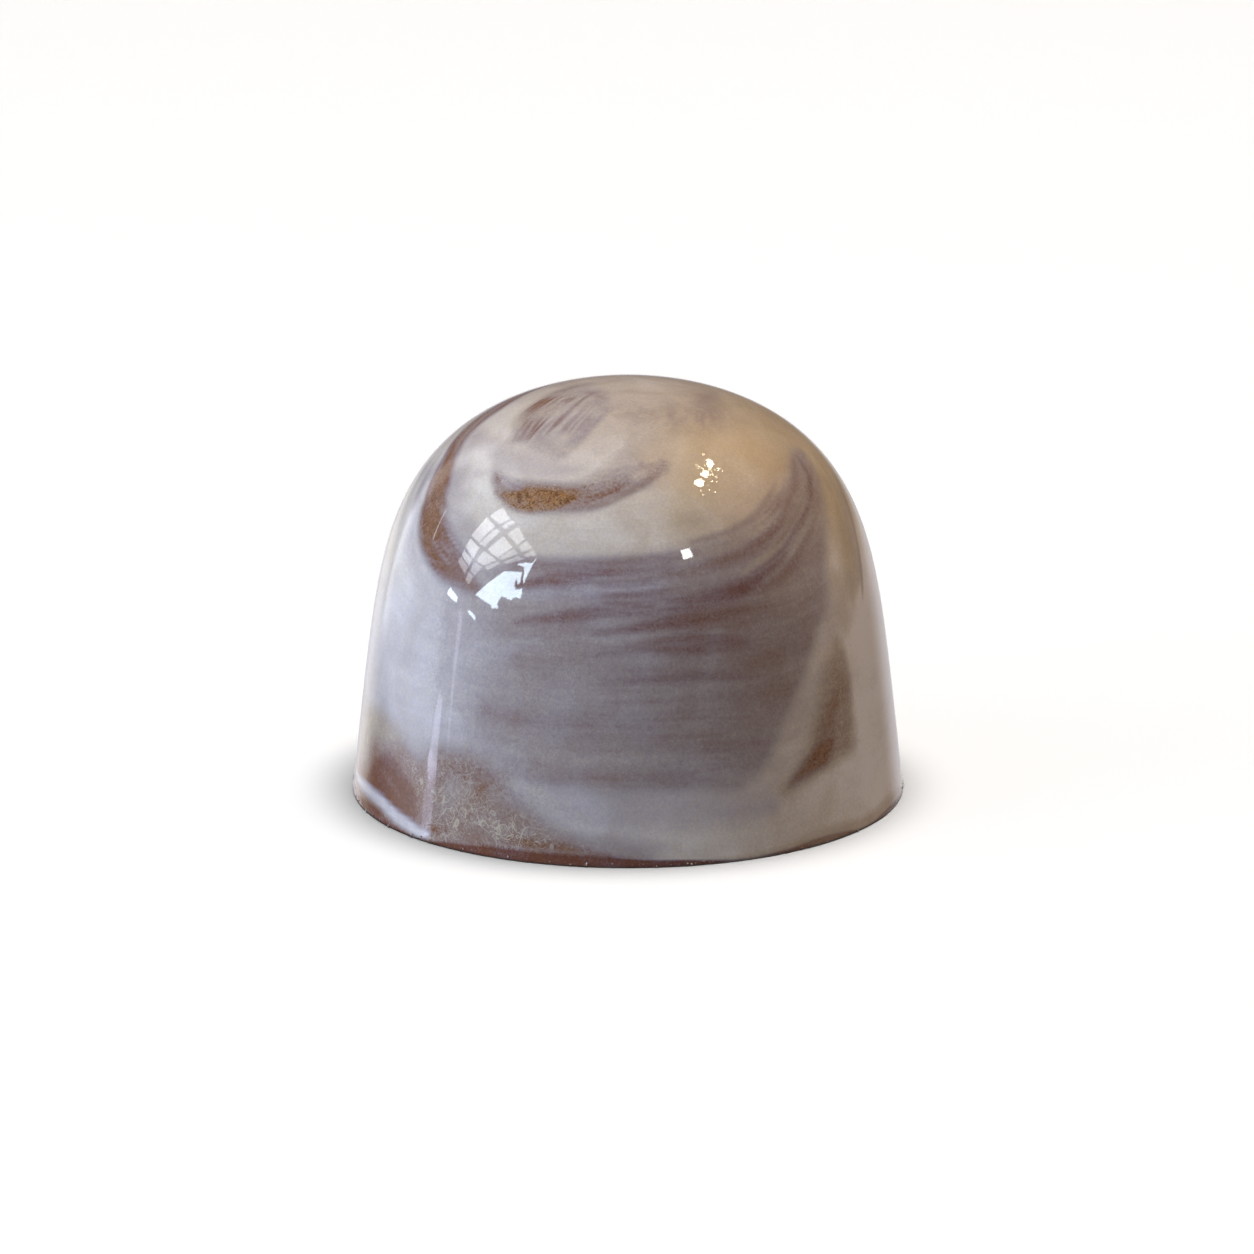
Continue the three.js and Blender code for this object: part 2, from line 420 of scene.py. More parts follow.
def lower_right_wedge(film):
    """The light band that runs down to the right, the bare wedge beside it and the pale foot."""
    film.wipe([(57, 11.4, 0.9), (51, 10.4, 1.15), (46.5, 9, 1.2), (42, 7.5, 1.2), (37.8, 6, 1.2),
        (34, 4.8, 1.2), (30, 3.6, 1.1)], 1, 0.95, film=0.8, hairs=0.2, grain=0.2, warmth=-0.1)
    film.patch([(53.5, 9.6), (55.5, 8), (56.5, 6.5), (56.5, 5.2), (55, 4.3), (50, 3.9), (44, 3.6),
        (38, 3.3), (34.5, 3.1), (33.5, 3.4), (38, 4.3), (41.5, 5.4), (44, 6.7), (46.5, 7.9), (50, 9)], 1.3,
        film=0.42, hairs=0.3, grain=0.6, warmth=1)
    film.wipes(
        ([(52.5, 7.4, 0.6), (49, 6.2, 1.1), (45, 5.1, 0.9)], 0.9, 0.7, 0.21, 0.8),
        ([(35.5, 3.5, 0.4), (41, 4, 0.8), (46, 4.5, 0.95), (49, 5, 0.5)], 0.7, 0.85, 0.06, 0.45),
        ([(54.5, 9, 0.5), (55, 7, 0.8), (53, 5.2, 0.8)], 0.9, 0.7, 0.36, 0.8))
    film.wipe([(-28, 2.7, 1.2), (-10, 2.9, 1.5), (10, 2.7, 1.5), (30, 2.6, 1.2)], (1.1, 1.3), 0.8,
        film=0.68, hairs=0.15, grain=0.15, warmth=-0.6)
    film.wipes(
        ([(-16, 1.2, 0.7), (-2, 1, 0.9), (9, 0.9, 0.5)], 0.8, 0.6, 0.58, -0.3),
        ([(74, 17.5, 0.6), (68.5, 14.5, 1), (64, 12.2, 0.9), (62, 11.2, 0.4)], 0.9, 0.6, 0.6, 0.9))
    film.comb([(92, 19.5), (84, 16.5), (74, 13.2), (67, 11.4)], [(84, 20), (76, 17), (69, 13.8),
        (63, 11.6)], 7, 31, 0.16, (0.35, 0.7), 0.55, warmth=0.5)
    film.wipes(
        ([(82, 16.8, 0.15), (76, 14.4, 0.3), (70, 12.2, 0.35), (67, 11, 0.1)], 0.3, 0.6, 0.4, 0.3),
        ([(95, 17.5, 0.6), (82, 16.6, 0.6), (76, 15.6, 0.7), (72, 14, 0.8), (68, 12.4, 0.7), (65, 12, 0.3)],
         (0.8, 0.7), 0.7, 0.62, 0.5),
        ([(56, 13.5, 0.8), (60, 12, 1.2), (57, 10, 0.8)], 1.2, 0.5, 0.7, 0.5))


def crescent_and_leaf(film):
    """Below the crown: a white band, under it a crescent that is ochre and granular where bare, the ochre
    partly painted warm lamplight, and drawn out into mauve hairs, and above it a leaf of fine diagonal
    hairs."""
    film.wipe([(-70, 20.6, 0.8), (-45, 20.1, 1.1), (-30, 19.9, 1.1), (-15, 20.3, 0.6)], 0.9, 0.8, film=0.71,
        hairs=0.05, warmth=-0.2)
    film.patch([(-49, 19.5), (-44, 19.2), (-38, 18.9), (-31, 18.9), (-23, 19.1), (-15, 19.4), (-7, 20),
        (0, 20.8), (8, 21.1), (15, 21.2), (14, 20.2), (6, 19.3), (-2, 18.5), (-10, 17.8), (-20, 17.3),
        (-28, 17.2), (-35, 17.25), (-41, 17.85), (-45, 18.7)], 1, film=0.54, hairs=0.4, grain=0.5,
        warmth=0.1)
    film.wipes(
        ([(3, 21.3, 0.9), (10, 21.4, 1.2), (16, 21.4, 1)], 1.1, 0.7, 0.8, 0.4),
        ([(-18, 18.4, 0.3), (-6, 19, 0.4), (3, 19.9, 0.4), (9, 20.5, 0.2)], 0.4, 0.7, 0.74, 0.3),
        ([(-24, 17.5, 0.3), (-12, 17.8, 0.4), (-2, 18.6, 0.4), (6, 19.5, 0.4), (13, 20.3, 0.2)], 0.35, 0.8,
         0.3, 0.2))
    film.comb([(-20, 17.6), (-8, 18.1), (2, 19), (12, 20.2)], [(-16, 19.2), (-6, 20), (1, 21.2), (4, 22.6)],
        12, 11, 0.14, (0.25, 0.75), 0.5)
    film.patch([(-45, 19), (-39, 18.6), (-32, 18.9), (-22, 19.1), (-15, 18.9), (-9, 18.7), (-16, 17.9),
        (-26, 17.4), (-34, 17.6), (-40, 18), (-44, 18.5)], 0.9, film=0.17, grain=0.8, hairs=0.9, warmth=0.5)
    # Partly painted warm lamplight: the crescent's bare middle is laid ochre.
    film.wipe([(-41, 18, 0.35), (-34, 17.8, 0.75), (-28, 17.95, 0.95), (-20, 18.3, 0.8),
        (-13, 18.65, 0.25)], (0.6, 0.4), 0.95, film=0.03, grain=1, hairs=0.3, warmth=1)
    film.wipe([(-43, 18.85, 0.25), (-39, 18.65, 0.5), (-35, 18.6, 0.5), (-32, 18.85, 0.2)], (0.4, 0.35),
        0.95, film=0.52, grain=0.8, warmth=-0.1)
    film.wipe([(-45, 18.7, 0.12), (-42, 18.2, 0.2), (-37, 17.7, 0.2), (-30, 17.45, 0.1)], 0.25, 0.8,
        film=0.14, grain=0.8, warmth=-0.2)
    film.comb([(-24, 18.95), (-14, 19.1), (-4, 19.9), (4, 20.8)], [(-22, 17.5), (-12, 17.9), (-2, 18.9),
        (8, 20.2)], 15, 14, 0.13, (0, 0.5), 0.8, grain=0.8, warmth=0.2)
    film.wipe([(-14, 19.6, 0.5), (-5, 20.3, 0.9), (1, 21.3, 1), (3, 22.8, 0.5)], 0.9, 0.6, film=0.6,
        hairs=0.3, warmth=0.1)

    film.patch([(-110, 27.2), (-90, 26.2), (-74, 25), (-61, 23.4), (-55, 21.8), (-50, 20.9), (-42, 20.9),
        (-33, 20.8), (-25, 20.8), (-20, 22.3), (-16, 23.9), (-14, 25.4), (-40, 27.2)], 1.1, film=0.66,
        hairs=0.3, grain=0.25, warmth=0)
    film.wipe([(-90, 26.2, 0.8), (-70, 24.9, 1.2), (-58, 23.3, 1.4), (-50, 21.6, 0.8)], (0.9, 0.8), 0.8,
        film=0.5, hairs=0.5, grain=0.4, warmth=0.4)
    film.comb([(-106, 26.6), (-84, 25.3), (-70, 23.6), (-56, 20.2)], [(-64, 27.2), (-47, 25.2), (-42, 23.2),
        (-38, 20.3)], 22, 12, 0.13, (0, 0.34), 0.9, warmth=0.3)
    film.comb([(-68, 24), (-60, 22.4), (-53, 20.5)], [(-54, 24.4), (-46, 22.6), (-40, 20.6)], 8, 17, 0.16,
        (0.1, 0.36), 0.9, warmth=0.15)
    film.comb([(-90, 26.4), (-70, 25), (-60, 23.4), (-52, 21.5)], [(-52, 27.2), (-38, 25.2), (-35, 23.4),
        (-33, 20.8)], 8, 15, 0.1, (0.6, 0.85), 0.75, warmth=0.1)
    film.comb([(-46, 26.8), (-38, 25), (-36, 23), (-34, 21.2)], [(-16, 25.6), (-18, 24.2), (-20, 22.8),
        (-25, 21.2)], 9, 13, 0.2, (0.34, 0.88), 0.7)
    film.wipes(
        ([(-50, 26.8, 0.15), (-42, 24.8, 0.25), (-39, 23.2, 0.3), (-38, 21.8, 0.1)], 0.25, 0.85, 0.22, 0.2),
        ([(-16, 25, 0.2), (-20, 23.2, 0.4), (-24, 22, 0.45), (-28, 21.3, 0.1)], 0.5, 0.8, 0.5, -0.4),
        ([(-100, 26.8, 0.2), (-60, 26.6, 0.35), (-38, 26.4, 0.35), (-20, 26.2, 0.15)], 0.4, 0.6, 0.44, 0.2))


def left_shoulder_stroke(film):
    """The long stroke that comes over the left shoulder, bare at its widest."""
    film.wipe([(-76, 18, 1), (-73, 16, 1.3), (-66, 14, 1.3), (-55, 12.8, 0.9)], 1.2, 0.6, film=0.62,
        hairs=0.3, warmth=-0.3)
    film.wipe([(-62, 18.4, 0.6), (-55, 16.9, 1), (-46, 15.7, 1.1), (-38, 15.2, 0.7)], 0.9, 0.6, film=0.56,
        hairs=0.3, warmth=-0.1)
    film.wipe([(-125, 24.3, 0.5), (-108, 23.3, 0.9), (-95, 22.2, 1.15), (-88, 21.1, 1.15), (-80, 19.9, 1),
        (-73, 18.8, 1), (-67, 17.3, 1.4), (-61, 15.9, 1.5), (-53, 14.7, 1.3), (-45, 13.7, 1),
        (-36, 12.9, 0.5)], (0.7, 0.8), 0.9, film=0.1, hairs=0.8, grain=0.22, warmth=-0.05)
    film.wipe([(-100, 22.4, 0.2), (-90, 21.2, 0.45), (-80, 19.7, 0.45), (-72, 18.3, 0.35)], 0.4, 0.85,
        film=0.05, warmth=0.2)
    film.patch([(-71.5, 18.2), (-66, 18), (-60, 16.8), (-56, 15.3), (-57.5, 14.6), (-65, 15.4),
        (-69, 16.8)], 1.1, film=0, grain=0.5, hairs=0.3, warmth=0.1)
    film.wipe([(-78, 17.6, 0.5), (-74, 16, 0.7), (-68, 14.7, 0.7), (-60, 13.7, 0.4)], 0.8, 0.5, film=0.5,
        grain=0.3, warmth=-0.2)
    film.wipe([(-52, 15.6, 0.7), (-46, 14.6, 0.9), (-40, 13.8, 0.6)], 0.8, 0.7, film=0.34, grain=0.25,
        warmth=-0.2)
    film.patch([(-78, 21), (-66, 20.4), (-57, 18.5), (-50, 17.4), (-56, 17), (-63, 18.2), (-72, 19.6)], 1.2,
        0.6, film=0.68, warmth=-0.3)
    film.comb([(-66, 16.2), (-60, 15), (-54, 14), (-46, 13.2)], [(-64, 17.6), (-57, 16.4), (-50, 15.4),
        (-42, 14.5)], 12, 21, 0.15, (0, 0.5), 0.85, grain=0.2, warmth=-0.1)
    film.comb([(-88, 20.4), (-80, 19.3), (-73, 18.2)], [(-84, 21.4), (-76, 20.3), (-69, 19)], 5, 22, 0.1,
        (0.1, 0.7), 0.6, warmth=0.2)
    film.wipe([(-118, 24.2, 0.1), (-102, 23, 0.3), (-90, 21.6, 0.35), (-80, 20.1, 0.3), (-72, 18.7, 0.3),
        (-67, 17.4, 0.1)], 0.35, 0.8, film=0.36, hairs=0.3, warmth=0.6)
    film.wipe([(-92, 21, 0.1), (-83, 19.6, 0.25), (-76, 18.3, 0.3), (-71, 17, 0.3), (-65, 15.8, 0.3),
        (-57, 14.6, 0.15)], 0.3, 0.85, film=0, hairs=0, warmth=-0.7)
    film.comb([(-60, 15.2), (-52, 14.3), (-44, 13.4)], [(-55, 17.2), (-47, 15.9), (-39, 14.8)], 11, 24,
        0.16, (0.15, 0.65), 0.85, grain=0.2, warmth=-0.2)
    film.wipe([(-83, 18.6, 0.3), (-79, 17.2, 0.5), (-73, 15.6, 0.5), (-66, 14.5, 0.3)], 0.5, 0.6, film=0.46,
        warmth=-0.5)


def lower_left_corner(film):
    """The lower left, wiped almost bare, with a white crescent at the foot and pale curls to its right."""
    film.patch([(-100, 2.6), (-90, 3.4), (-80, 3.8), (-72, 4.5), (-65, 4.9), (-58, 4.8), (-52, 4.4),
        (-44, 4.7), (-36, 4.7), (-29, 4), (-24, 2.8), (-18, 1.9), (-12, 1.2), (-4, 0.7), (4, 0.2), (0, -2),
        (-100, -2)], 2.2, film=0.27, hairs=0.1, grain=0.45, curls=0.4, warmth=0.15)
    film.patch([(-92, 5), (-84, 5.6), (-76, 4.8), (-66, 4.2), (-70, 2.8), (-90, 3.2)], 1.6, 0.6, film=0.4,
        grain=0.4, warmth=0.4)
    film.patch([(-82, 0.9), (-80, 3.2), (-73, 4.3), (-66, 4.8), (-59, 4.6), (-52, 4), (-46, 3.3),
        (-45, 0.9), (-60, 0.6)], 1, film=0.17, grain=0.25, curls=0.15, warmth=0.3)
    film.patch([(-72, 1.2), (-68, 2.6), (-62, 3.4), (-56, 3.2), (-51, 2.6), (-48, 1.8), (-47.5, 0.9),
        (-60, 0.9)], 0.7, film=0.02, grain=0.12, curls=0.05, warmth=-0.7)
    film.wipes(
        ([(-72, 4.1, 0.1), (-64, 3.9, 0.18), (-57, 3.4, 0.2), (-51, 2.6, 0.2), (-48.5, 1.6, 0.1)], 0.25,
         0.9, 0, -1),
        ([(-66, 2.6, 0.2), (-60, 2.4, 0.4), (-54, 1.8, 0.2)], 0.5, 0.6, 0.2, 0.1))
    film.wipe([(-66, 4.9, 0.3), (-57, 4.3, 0.5), (-50, 3.5, 0.5), (-47.5, 2.6, 0.55), (-46.5, 1.4, 0.35)],
        0.5, 0.75, film=0.26, grain=0.5, curls=1, warmth=0.3)
    film.patch([(-98, 3.4), (-86, 4.2), (-78, 4.7), (-71, 5.2), (-63, 5.2), (-57, 4.8), (-62, 4),
        (-70, 3.4), (-76, 2.4), (-96, 1.8)], 1.6, 0.9, film=0.6, grain=0.4, curls=0.35, warmth=0.6)
    film.patch([(-46, 0.6), (-45, 4), (-38, 4.7), (-30, 4.2), (-23, 3), (-16, 1.8), (-10, 0.8), (-25, 0.3)],
        1.7, film=0.29, grain=0.6, curls=1, warmth=0.3)
    film.patch([(-46, 4), (-40, 7.5), (-25, 7.5), (-15, 4.5), (-20, 2.5)], 3, 0.8, curls=0.22)
    film.wipe([(-44, 3.6, 0.9), (-32, 4.1, 1.2), (-20, 3.4, 1.1), (-8, 2.2, 0.7)], 1.2, 0.7, curls=0.7,
        grain=0.7, warmth=-0.2)
    film.wipe([(-39, 3.1, 0.9), (-36.5, 3, 0.8)], 0.9, 0.6, film=0.66, curls=0.6, warmth=0)
    film.wipe([(-29, 3.1, 0.7), (-25, 2.9, 0.7)], 0.7, 0.5, film=0.55, warmth=-0.2)
    film.wipe([(-44, 0.9, 0.35), (-40, 0.85, 0.3)], 0.3, 0.8, film=0.05, curls=0.2, warmth=0)
    film.wipe([(-24, 0.9, 0.45), (-12, 0.7, 0.35), (-4, 0.45, 0.2)], 0.3, 0.8, film=0.08, warmth=0.2)
    film.patch([(-84, 1.55), (-76, 1.5), (-68, 1.36), (-60, 1.3), (-53, 1.14), (-48, 0.9), (-44.5, 0.66),
        (-46, 0.36), (-52, 0.46), (-60, 0.59), (-68, 0.72), (-76, 0.95)], 0.32, film=0.86, hairs=0, grain=0,
        curls=0, warmth=-0.9)


def unseen_back(film):
    """Round the back, by the same hand: a mauve sweep with its streaks, a bare stroke and pale bands."""
    film.wipe([(112, 9.5, 1.2), (136, 8.6, 4.4), (160, 9.2, 4.8), (184, 10.6, 4.4), (206, 12.8, 3.2),
        (226, 15.6, 1)], (2.2, 2.6), 0.95, film=0.5, hairs=0.4, grain=0.4, warmth=-0.2)
    # Streaks one above the other, each of its own length, rise and width.
    draw = np.random.default_rng(41)
    for step in range(11):
        climb = 4.9 + 0.95 * step
        start = 118 + 3.2 * step + draw.uniform(-5, 5)
        reach = draw.uniform(30, 72)
        rise = 0.10 * reach * (0.25 + 0.07 * step)
        course = [(start + share * reach, climb + rise * share ** 2) for share in (0, 0.35, 0.7, 1)]
        half = draw.uniform(0.3, 0.75)
        streak = [(*place, taper * half) for place, taper in zip(course, (0.3, 1.0, 0.8, 0.2))]
        film.wipe(streak, 0.6, draw.uniform(0.5, 0.75), film=(0.22, 0.60)[step % 3 == 1],
            warmth=draw.uniform(-0.4, 0.2))
    film.comb([(124, 13.2), (150, 12.4), (176, 13.4), (204, 16.2)], [(120, 16.4), (148, 15.4), (174, 16.2),
        (206, 19.2)], 16, 42, 0.16, (0.25, 0.75), 0.5)
    film.wipe([(120, 20.6, 0.3), (140, 19.2, 0.8), (162, 18.8, 1.1), (184, 19.6, 0.8), (204, 21.4, 0.3)],
        0.7, 0.9, film=0.48, hairs=0.4, grain=0.5, warmth=0.1)
    film.wipe([(132, 19.5, 0.2), (148, 18.7, 0.55), (164, 18.6, 0.2)], 0.4, 0.9, film=0.04, grain=1,
        warmth=0.8)
    film.comb([(116, 24.6), (140, 23), (170, 22.4), (204, 23.2)], [(112, 26), (140, 25), (172, 24.4),
        (208, 24.6)], 9, 43, 0.18, (0.35, 0.75), 0.6, warmth=0.2)
    film.wipe([(205, 3.4, 0.9), (214, 6, 1.4), (226, 8.2, 1.4), (240, 9.6, 0.6)], 1, 0.9, film=0.78,
        hairs=0.2, warmth=-0.3)
    film.patch([(222, 1), (226, 4), (236, 6.4), (246, 5.4), (252, 3.2), (256, 1)], 1.4, 0.9, film=0.2,
        grain=0.6, curls=0.5, warmth=0.3)
    film.wipe([(128, 2.2, 0.6), (152, 2.6, 1.1), (178, 2.2, 0.6)], 1, 0.7, film=0.55, warmth=-0.3)
    film.patch([(96, 1), (102, 3.2), (112, 4.2), (121, 2.6), (124, 0.8)], 1.3, 0.8, film=0.34, grain=0.6,
        curls=0.5, warmth=0.3)


def bare_foot(film):
    """The line of closing chocolate along the foot, thinner to the right, and the bare underside, with a
    painted warm glow lightening the foot on its right side, where little light reaches.
    """
    # Painted warm glow: a light beige band along the right of the foot.
    film.wipe([(18, 0.1, 0.4), (40, 0.2, 0.65), (70, 0.3, 0.8), (105, 0.2, 0.4)], 0.6, 0.6, film=0.56,
        warmth=0.9)
    line = np.interp(film.azimuth, *zip(*FOOT_LINE))
    line_fades_over = 0.16
    rim = 0.25
    under = (film.climb < 0.02) & (np.hypot(*film.points.T[:2]) < RADII[0] - rim)
    # Red-brown all round but for the right side, where it is painted lighter and ochre: a painted warm glow
    # on a foot that little light reaches.
    ochre = np.interp(film.azimuth, [15, 40, 110, 150], [-1.0, 0.7, 0.7, -1.0])
    film.lay(eased(0.5 + (line - film.climb) / line_fades_over),
        dict(film=0.15 + 0.15 * ochre, hairs=0.0, grain=0.15, curls=0.1, warmth=ochre))
    film.lay(under.astype(float), dict(film=0.05, hairs=0.3, grain=0.5, curls=0.0, warmth=0.1))


def give_marbling(piece):
    """Marbles a piece: writes the film's layers, and where each point lies in the swirl, on its points."""
    mesh = piece.data
    points = np.empty(len(mesh.vertices) * 3)
    mesh.vertices.foreach_get("co", points)
    film = Film(points.reshape(-1, 3))
    film.lay(1.0, dict(film=0.90, hairs=0.12, grain=0.12, curls=0.0, warmth=-0.15))
    for part in (pale_grounds, front_sweep, lower_right_wedge, crescent_and_leaf, left_shoulder_stroke,
                 lower_left_corner, unseen_back, bare_foot):
        part(film)
    for name, layer in film.layers.items():
        mesh.attributes.new(name, "FLOAT", "POINT").data.foreach_set("value", layer.astype(np.float32))
    mesh.attributes.new("swirl", "FLOAT_VECTOR", "POINT").data.foreach_set("vector", film.swirl().ravel())


# ---------------------------------------------------------------- finishes

# Film colours from bare chocolate, 0, to opaque cocoa butter, 1: a thin white film over dark looks
# mauve. The lavender ones lie over red-brown chocolate and the beige ones over ochre. Where the film is
# laid beige or bare chocolate ochre on the crown, the right shoulder and the right of the foot, that
# warm tone is partly painted lamplight; the lavender low on the left wall is partly painted cool window
# light.
LAVENDER_FILM = [
    (0.00, "#6e453a"), (0.10, "#78595d"), (0.25, "#867280"), (0.40, "#928896"), (0.55, "#a19cad"),
    (0.70, "#b1aebf"), (0.85, "#c6c4cf"), (1.00, "#dcdbe1"),
]
BEIGE_FILM = [
    (0.00, "#835a32"), (0.10, "#8d6a4a"), (0.25, "#967f70"), (0.40, "#a19187"), (0.55, "#aea194"),
    (0.70, "#beb19b"), (0.85, "#cfc2a9"), (1.00, "#e0d8c6"),
]


def new_tree(material_name):
    """An empty material and its node tree."""
    material = bpy.data.materials.new(material_name)
    material.use_nodes = True
    material.node_tree.nodes.clear()
    return material, material.node_tree


def coated_chocolate(name, scraped):
    """Tempered milk chocolate that set against polished polycarbonate, under its film of cocoa butter:
    the eye sees a mirror-smooth gloss over milky, streaked colour. A scraped one has a matt underside
    with the marks of the scraper that closed it."""
    material, tree = new_tree(name)
    value = {layer: add(tree, "ShaderNodeAttribute", out="Fac", attribute_name=layer) for layer in LAYERS}
    swirl = add(tree, "ShaderNodeAttribute", out="Vector", attribute_name="swirl")
    here = add(tree, "ShaderNodeTexCoord", out="Object")

    # Streaks run round the swirl: millimetres across one and along it.
    streaks = [("broad", 1.2, 11.0, 2.0), ("fine", 0.42, 4.5, 2.0), ("hair", 0.15, 2.2, 1.0)]
    for key, across, along, detail in streaks:
        drawn = add(tree, "ShaderNodeVectorMath", {0: swirl, 1: (1 / across, 1 / along, 1 / along)},
                    operation="MULTIPLY")
        value[key] = add(tree, "ShaderNodeTexNoise", {"Vector": drawn, "Scale": 1.0, "Detail": detail})
    # Cocoa grains, fibres, dust, curls of butter left by the brush and gold specks, partly painted glints
    # of
    # lamplight: millimetres from one to the next. The grains and the dust are finer in life, and are as
    # coarse as they need to be to show.
    specks = [
        ("cloud", 2.4, 3.0, 0.6), ("granules", 0.24, 1.5, 1.2), ("dust", 0.12, 1.0, 0.0),
        ("fibres", 0.34, 1.0, 2.2), ("loops", 0.68, 1.0, 2.3), ("rings", 1.3, 1.0, 1.6),
        ("loop places", 1.5, 2.0, 0.0), ("gold", 0.13, 0.5, 0.4),
    ]
    for key, size, detail, bend in specks:
        value[key] = add(tree, "ShaderNodeTexNoise", {
            "Vector": here, "Scale": 1 / (size * MM), "Detail": detail, "Distortion": bend})
    cells = add(tree, "ShaderNodeTexVoronoi", {"Vector": here, "Scale": 1 / (0.36 * MM)}).node.outputs
    value["dot gap"], value["dot draw"] = cells["Distance"], cells["Color"]

    # Each line is one sum: its result's name, the operation and what it works on.
    sums = [
        ("broad off", "SUBTRACT", "broad", 0.5),
        ("broad part", "MULTIPLY", "broad off", 1.1),
        ("fine off", "SUBTRACT", "fine", 0.5),
        ("fine part", "MULTIPLY_ADD", "fine off", 0.5, "broad part"),
        ("hair off", "SUBTRACT", "hair", 0.5),
        ("hair part", "MULTIPLY_ADD", "hair off", 0.22, "fine part"),
        ("streaked", "MULTIPLY_ADD", "hair part", "hairs", "film"),
        ("cloud off", "SUBTRACT", "cloud", 0.5),
        ("clouded", "MULTIPLY_ADD", "cloud off", 0.34, "streaked"),
        ("granules off", "SUBTRACT", "granules", 0.5),
        ("granules part", "MULTIPLY", "granules off", 0.7),
        ("grained", "MULTIPLY_ADD", "granules part", "grain", "clouded"),
        ("dust off", "SUBTRACT", "dust", 0.5),
        ("dusted", "MULTIPLY_ADD", "dust off", 0.2, "grained"),
        ("fibre side", "SUBTRACT", "fibres", 0.5),
        ("fibre gap", "ABSOLUTE", "fibre side"),
        ("on a fibre", "MULTIPLY_ADD", "fibre gap", -24.0, 1.1),
        ("places off", "MULTIPLY_ADD", "loop places", 5.0, -2.0),
        ("some fibres", "MULTIPLY", "on a fibre", "places off"),
        ("fibre part", "MULTIPLY", "some fibres", "grain"),
        ("with fibres", "MULTIPLY_ADD", "fibre part", 0.32, "dusted"),
        ("loop side", "SUBTRACT", "loops", 0.5),
        ("loop gap", "ABSOLUTE", "loop side"),
        ("in a loop", "MULTIPLY_ADD", "loop gap", -30.0, 1.1),
        ("loops here", "MULTIPLY_ADD", "loop places", 8.0, -3.1),
        ("some loops", "MULTIPLY", "in a loop", "loops here"),
        ("ring side", "SUBTRACT", "rings", 0.5),
        ("ring gap", "ABSOLUTE", "ring side"),
        ("in a ring", "MULTIPLY_ADD", "ring gap", -60.0, 1.5),
        ("some rings", "MULTIPLY", "in a ring", "loops here"),
        ("loops or rings", "MAXIMUM", "some loops", "some rings"),
        ("in a dot", "MULTIPLY_ADD", "dot gap", -14.0, 2.1),
        ("drawn dot", "GREATER_THAN", "dot draw", 0.66),
        ("some dots", "MULTIPLY", "in a dot", "drawn dot"),
        ("loops or dots", "MAXIMUM", "loops or rings", "some dots"),
        ("butter left", "MULTIPLY", "loops or dots", "curls"),
        ("up to thick", "SUBTRACT", 0.72, "with fibres"),
        ("film seen", "MULTIPLY_ADD", "butter left", "up to thick", "with fibres"),
        ("cloudy warmth", "MULTIPLY_ADD", "cloud off", -1.1, "warmth"),
        ("warmth drift", "MULTIPLY_ADD", "granules off", 0.9, "cloudy warmth"),
        ("warm butter", "MULTIPLY_ADD", "butter left", 0.35, "warmth drift"),
        ("warmth share", "MULTIPLY_ADD", "warm butter", 0.5, 0.5),
        ("bareness", "MULTIPLY_ADD", "film", -7.0, 1.4),
        ("fibres bare", "MULTIPLY", "on a fibre", "bareness"),
        ("gold fibres", "MULTIPLY", "fibres bare", "grain"),
        ("gold rise", "MULTIPLY_ADD", "gold", 9.0, -6.7),
        ("gold specks", "MULTIPLY", "gold rise", "grain"),
        ("gold seen", "MAXIMUM", "gold fibres", "gold specks"),
        ("dark rise", "MULTIPLY_ADD", "granules", -8.0, 3.8),
        ("grains bare", "MULTIPLY", "dark rise", "bareness"),
        ("dark grains", "MULTIPLY", "grains bare", "grain"),
    ]
    # These are shares, kept between 0 and 1.
    shares = {"on a fibre", "places off", "in a loop", "in a ring", "loops here", "in a dot", "film seen",
              "warmth share", "gold rise", "dark rise", "bareness"}
    for result, operation, *parts in sums:
        parts = {i: value.get(part, part) for i, part in enumerate(parts)}
        value[result] = add(tree, "ShaderNodeMath", parts, operation=operation, use_clamp=result in shares)

    ramps = []
    for stops in (LAVENDER_FILM, BEIGE_FILM):
        ramp = add(tree, "ShaderNodeValToRGB", {0: value["film seen"]})
        elements = ramp.node.color_ramp.elements
        elements[0].position, elements[0].color = stops[0][0], linear(stops[0][1])
        elements[1].position, elements[1].color = stops[-1][0], linear(stops[-1][1])
        for position, colour in stops[1:-1]:
            elements.new(position).color = linear(colour)
        ramps.append(ramp)
    colour = ramps[0]
    # The gold laid over bare chocolate is partly painted glints of warm lamplight.
    for share, laid_over in [("warmth share", ramps[1]), ("dark grains", linear("#5c3a22")),
                             ("gold seen", linear("#ad8350"))]:
        colour = add(tree, "ShaderNodeMix", {0: value[share], "A": colour, "B": laid_over}, out="Result",
                     data_type="RGBA")

